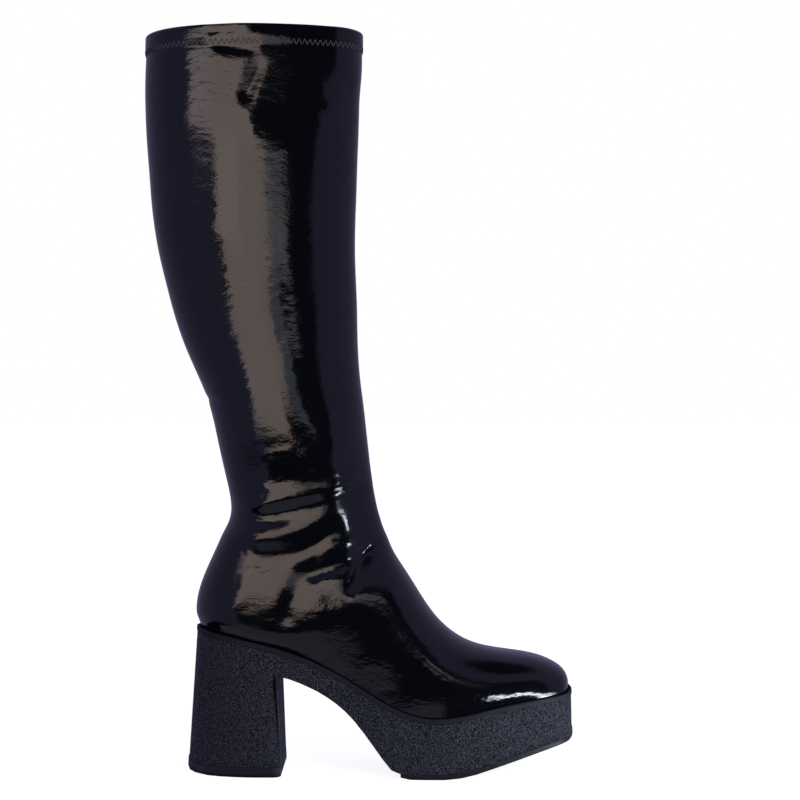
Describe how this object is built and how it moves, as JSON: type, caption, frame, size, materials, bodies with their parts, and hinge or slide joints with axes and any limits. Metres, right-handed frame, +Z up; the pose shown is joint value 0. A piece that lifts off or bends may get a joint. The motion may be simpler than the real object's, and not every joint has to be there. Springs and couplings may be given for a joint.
{
  "type": "knee-high platform boot",
  "caption": "Knee-high boot in black patent with a square toe, on a thick platform sole with a high block heel; stands empty on its sole, open at the collar",
  "frame": {"origin": "on the floor, under the middle of the boot's box", "axes": "+X to the toe, +Y to the inner side of the foot, +Z up the shaft"},
  "size_m": [0.2789, 0.0896, 0.4793],
  "materials": {
    "upper": "black patent, high gloss with a fine crinkle",
    "insole": "black cloth sock over a board",
    "platform_sole": "dark moulded unit, grained side panel between smooth bands",
    "heel_top_lift": "smooth dark rubber",
    "forefoot_tread": "smooth dark rubber"
  },
  "bodies": {
    "root": {"upper": "upper", "insole": "insole", "platform_sole": "platform_sole", "heel_top_lift": "heel_top_lift", "forefoot_tread": "forefoot_tread"}
  },
  "joints": []
}
